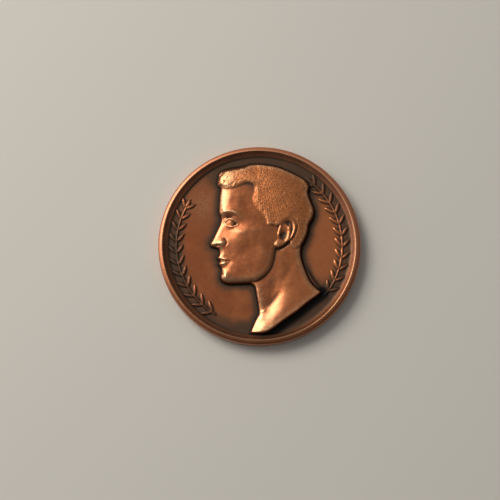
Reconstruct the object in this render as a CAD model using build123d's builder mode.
from build123d import *
import os
from math import cos, radians, sin

# A struck commemorative medal, lying on its reverse with the obverse up.
# Origin: on the resting plane under the centre. +X right and +Y up on the obverse, +Z out of it.
# Lengths are millimetres.

# Flan, rims and fields
medal_diameter = 60.0
rim_thickness = 4.8        # resting plane to the crest of the obverse rim
rim_width = 2.8            # edge of the medal to the edge of the field
rim_outer_slope = 1.1      # width of the rounded shoulder outside the crest
rim_crest_width = 0.4
rim_height = 1.35          # crest over the edge of the obverse field
field_dish = 0.3           # the obverse field is this much lower at its middle
rim_hollow_along = 0.4     # the inner slope is hollow: this share of its width from the crest,
rim_hollow_down = 0.6      # it is already this share of its height below the crest
reverse_rim_width = 1.9
reverse_recess = 0.7
reverse_rim_slope = 0.7
edge_round = 0.5           # rounding between the edge and the reverse rim

# Bust in profile, facing -X
bust_height = 51.0         # tip of the truncation to the top of the hair
relief_height = 2.35       # cheek over the field
relief_wall = 0.75         # steep wall all round the relief
hair_rise = 0.6            # hair over the skull along the hairline
face_rise = 0.35           # face over the neck along the jaw
edge_rise = 0.12           # both of them where they near the outline
edge_inset = 0.5           # strip left between them and the outline

# Ear
ear_height = 9.4
ear_width = 5.4
ear_tilt = 18.0            # degrees that its top leans back
ear_rise = 2.75            # rim of the ear over the field
ear_rim = 0.75
ear_bowl_depth = 0.7

# Laurel sprigs round the field, one on each side
sprig_inset = 2.5          # edge of the field to the middle of the stem
right_sprig_start = -35.0  # degrees from +X, counterclockwise
left_sprig_start = 236.0
sprig_arc = 82.0
leaf_pairs = 11
leaf_length = 3.6
leaf_width = 1.0
leaf_spread = 38.0         # degrees between a leaf and the stem
leaf_rise = 0.35
stem_width = 0.4

# Sections of the bust from the hair down to the tip. Columns, as shares of bust_height from the medal's
# centre: up, front edge, back edge, hairline, back of the face (None where there is none); and then the
# rise over the field at the five stations below, as shares of relief_height.
station_shares = (0.12, 0.30, 0.50, 0.70, 0.88)
sections = [
    (0.485, -0.070, 0.050, -0.070, None, (0.36, 0.39, 0.40, 0.39, 0.36)),       # crown
    (0.471, -0.118, 0.120, -0.118, None, (0.44, 0.52, 0.56, 0.54, 0.44)),
    (0.443, -0.220, 0.184, -0.220, None, (0.46, 0.62, 0.72, 0.70, 0.50)),
    (0.392, -0.249, 0.263, -0.249, None, (0.52, 0.72, 0.82, 0.82, 0.58)),
    (0.335, -0.231, 0.293, -0.231, None, (0.54, 0.74, 0.84, 0.86, 0.62)),       # front tuft
    (0.320, -0.231, 0.295, -0.060, -0.050, (0.58, 0.76, 0.84, 0.86, 0.64)),
    (0.259, -0.237, 0.304, -0.040, -0.030, (0.60, 0.76, 0.84, 0.88, 0.66)),     # forehead
    (0.192, -0.239, 0.323, -0.016, -0.006, (0.66, 0.78, 0.84, 0.88, 0.68)),     # brow
    (0.143, -0.226, 0.318, 0.026, 0.036, (0.48, 0.70, 0.84, 0.88, 0.68)),       # root of the nose
    (0.104, -0.239, 0.303, 0.045, 0.055, (0.44, 0.74, 0.86, 0.86, 0.68)),
    (0.070, -0.255, 0.288, 0.186, 0.100, (0.42, 0.76, 0.86, 0.84, 0.68)),
    (0.014, -0.287, 0.261, 0.182, 0.098, (0.44, 0.72, 0.82, 0.80, 0.70)),       # tip of the nose
    (-0.020, -0.276, 0.248, 0.180, 0.096, (0.46, 0.70, 0.80, 0.74, 0.68)),
    (-0.034, -0.240, 0.245, 0.182, 0.095, (0.50, 0.68, 0.79, 0.72, 0.67)),      # base of the nose
    (-0.058, -0.235, 0.243, 0.190, 0.090, (0.46, 0.66, 0.78, 0.70, 0.66)),
    (-0.084, -0.246, 0.244, None, 0.086, (0.44, 0.63, 0.76, 0.69, 0.65)),       # upper lip
    (-0.099, -0.234, 0.246, None, 0.080, (0.42, 0.63, 0.75, 0.68, 0.64)),
    (-0.120, -0.240, 0.251, None, 0.074, (0.43, 0.62, 0.73, 0.67, 0.63)),       # lower lip
    (-0.148, -0.223, 0.263, None, 0.060, (0.41, 0.60, 0.69, 0.66, 0.62)),
    (-0.190, -0.229, 0.283, None, 0.022, (0.50, 0.58, 0.63, 0.66, 0.60)),       # chin
    (-0.225, -0.212, 0.302, None, -0.040, (0.48, 0.53, 0.60, 0.65, 0.58)),
    (-0.240, -0.170, 0.314, None, -0.085, (0.44, 0.50, 0.60, 0.66, 0.57)),      # under the chin
    (-0.250, -0.028, 0.328, None, None, (0.46, 0.60, 0.68, 0.65, 0.54)),        # throat
    (-0.284, -0.018, 0.363, None, None, (0.48, 0.66, 0.68, 0.62, 0.46)),        # back of the shoulder
    (-0.314, -0.014, 0.333, None, None, (0.50, 0.68, 0.68, 0.62, 0.48)),
    (-0.361, -0.006, 0.278, None, None, (0.52, 0.70, 0.68, 0.62, 0.50)),
    (-0.404, -0.008, 0.230, None, None, (0.56, 0.72, 0.68, 0.62, 0.50)),
    (-0.455, -0.027, 0.160, None, None, (0.60, 0.72, 0.70, 0.62, 0.50)),
    (-0.500, -0.047, 0.077, None, None, (0.62, 0.70, 0.66, 0.58, 0.48)),
    (-0.521, -0.059, -0.004, None, None, (0.46, 0.52, 0.54, 0.50, 0.42)),       # tip
]

# Small rounded forms that stand out of the face. Columns: across, up and radius as shares of bust_height,
# rise over the field as a share of relief_height
face_forms = [
    (-0.170, 0.122, 0.040, 0.62),    # eyeball
    (-0.222, 0.006, 0.030, 0.63),    # wing of the nose
]
ear_share_across = 0.147   # middle of the ear, as shares of bust_height
ear_share_up = 0.057

# Height of the obverse field at its edge and at its middle
field_edge_top = rim_thickness - rim_height
field_middle_top = field_edge_top - field_dish
relief_base = reverse_recess + edge_round


def rise_at(share, rises):
    """Rise of a section at a share of its width, along straight lines between the stations."""
    wall = relief_wall / relief_height
    shares = (0.0, *station_shares, 1.0)
    heights = (wall, *rises, wall)
    for i in range(len(shares) - 1):
        if share <= shares[i + 1]:
            part = (share - shares[i]) / (shares[i + 1] - shares[i])
            return heights[i] + (heights[i + 1] - heights[i]) * part
    return wall


def raised_section(front, back, tops):
    """Closed section from the base of the relief up to a smooth top through the points in tops."""
    Line((front, relief_base), tops[0])
    Spline(*tops)
    Line(tops[-1], (back, relief_base))
    Line((back, relief_base), (front, relief_base))


def skin_top(x, section):
    """Height of the bust's own surface at x in one of its sections."""
    up, front, back, hairline, face_back, rises = section
    return field_edge_top + relief_height * rise_at((x / bust_height - front) / (back - front), rises)


# Section of the flan, from the middle of the reverse round to the middle of the obverse
edge_radius = medal_diameter / 2
crest_outer = edge_radius - rim_outer_slope
crest_inner = crest_outer - rim_crest_width
field_radius = edge_radius - rim_width
land_outer = edge_radius - edge_round
land_inner = edge_radius - reverse_rim_width
recess_radius = land_inner - reverse_rim_slope
shoulder = rim_thickness - rim_outer_slope
sprig_radius = field_radius - sprig_inset
rim_hollow = (
    crest_inner - (crest_inner - field_radius) * rim_hollow_along,
    rim_thickness - rim_height * rim_hollow_down,
)
# A shallow dish has a quarter of its depth left half way out
dish_half_way = (field_radius / 2, field_middle_top + field_dish / 4)

with BuildPart() as flan:
    with BuildSketch(Plane.XZ):
        with BuildLine():
            Polyline((0, reverse_recess), (recess_radius, reverse_recess), (land_inner, 0), (land_outer, 0))
            CenterArc((land_outer, edge_round), edge_round, -90, 90)
            Line((edge_radius, edge_round), (edge_radius, shoulder))
            CenterArc((crest_outer, shoulder), rim_outer_slope, 0, 90)
            Line((crest_outer, rim_thickness), (crest_inner, rim_thickness))
            ThreePointArc((crest_inner, rim_thickness), rim_hollow, (field_radius, field_edge_top))
            ThreePointArc((field_radius, field_edge_top), dish_half_way, (0, field_middle_top))
            Line((0, field_middle_top), (0, reverse_recess))
        make_face()
    revolve(axis=Axis.Z)

# Head, neck and shoulder, lofted through the sections
with BuildPart() as bust:
    for up, front, back, hairline, face_back, rises in sections:
        left = front * bust_height
        width = (back - front) * bust_height
        tops = [(left, field_edge_top + relief_wall)]
        for share, rise in zip(station_shares, rises):
            tops.append((left + share * width, field_edge_top + rise * relief_height))
        tops.append((left + width, field_edge_top + relief_wall))
        with BuildSketch(Plane.XZ.offset(-up * bust_height)):
            with BuildLine():
                raised_section(left, left + width, tops)
            make_face()
    loft(ruled=True)

# Hair mass: a step over the skull along the hairline, sideburn and nape, fading towards the back
mass_shares = (0.0, 0.2, 0.4, 0.6, 0.8, 1.0)
with BuildPart() as hair_mass:
    for section in sections[1:]:
        up, front, back, hairline, face_back, rises = section
        if hairline is None:
            continue
        left = max(hairline * bust_height, front * bust_height + edge_inset)
        right = back * bust_height - edge_inset
        tops = []
        for share in mass_shares:
            x = left + share * (right - left)
            tops.append((x, skin_top(x, section) + hair_rise + (edge_rise - hair_rise) * share**3))
        with BuildSketch(Plane.XZ.offset(-up * bust_height)):
            with BuildLine():
                raised_section(left, right, tops)
            make_face()
    loft(ruled=True)

# Face: a step over the neck along the jaw, fading towards the profile
with BuildPart() as face_mass:
    for section in sections:
        up, front, back, hairline, face_back, rises = section
        if face_back is None:
            continue
        left = front * bust_height + edge_inset
        right = face_back * bust_height
        tops = []
        for share in mass_shares:
            x = left + share * (right - left)
            tops.append((x, skin_top(x, section) + edge_rise + (face_rise - edge_rise) * share))
        with BuildSketch(Plane.XZ.offset(-up * bust_height)):
            with BuildLine():
                raised_section(left, right, tops)
            make_face()
    loft(ruled=True)

# Ear: a raised rim round a hollow bowl
ear_place = Location((ear_share_across * bust_height, ear_share_up * bust_height), -ear_tilt)
with BuildPart() as ear:
    with BuildSketch(Plane.XY.offset(relief_base)):
        with Locations(ear_place):
            Ellipse(ear_width / 2, ear_height / 2)
    extrude(amount=field_edge_top + ear_rise - relief_base)
    with BuildSketch(Plane.XY.offset(field_edge_top + ear_rise)):
        with Locations(ear_place):
            Ellipse(ear_width / 2 - ear_rim, ear_height / 2 - ear_rim)
    extrude(amount=-ear_bowl_depth, mode=Mode.SUBTRACT)

# One laurel leaf, pointing along +Y from the stem, and a pair of them
leaf_bulge = leaf_width / 2
with BuildSketch(mode=Mode.PRIVATE) as leaf:
    with BuildLine():
        ThreePointArc((0, 0), (leaf_bulge, leaf_length / 2), (0, leaf_length))
        ThreePointArc((0, leaf_length), (-leaf_bulge, leaf_length / 2), (0, 0))
    make_face()
leaf_pair = leaf.sketch.rotate(Axis.Z, leaf_spread) + leaf.sketch.rotate(Axis.Z, -leaf_spread)

# Laurel sprigs: both grow upwards, so the left one's leaves are turned round
with BuildPart() as sprigs:
    with BuildSketch(Plane.XY.offset(relief_base)):
        for start, growth in ((right_sprig_start, 1), (left_sprig_start, -1)):
            stem = CenterArc((0, 0), sprig_radius, start, growth * sprig_arc, mode=Mode.PRIVATE)
            SlotArc(stem, stem_width)
            for i in range(leaf_pairs):
                angle = start + growth * sprig_arc * i / (leaf_pairs - 1)
                spot = (sprig_radius * cos(radians(angle)), sprig_radius * sin(radians(angle)))
                turn = angle if growth > 0 else angle + 180
                with Locations(Location(spot, turn)):
                    add(leaf_pair)
    extrude(amount=field_edge_top + leaf_rise - relief_base)

# The whole medal is one piece of metal
with BuildPart() as struck_medal:
    add(flan.part)
    add(sprigs.part)
    add(bust.part)
    add(face_mass.part)
    add(hair_mass.part)
    add(ear.part)
    for across, up, radius, rise in face_forms:
        ball = radius * bust_height
        ball_middle = field_edge_top + rise * relief_height - ball
        with Locations((across * bust_height, up * bust_height, ball_middle)):
            Sphere(ball)

struck_medal.part.label = "struck_medal"
os.makedirs("parts", exist_ok=True)
export_step(struck_medal.part, "parts/struck_medal.step")
print("volume", round(struck_medal.part.volume / 1000, 2), "cc, solids", len(struck_medal.part.solids()))
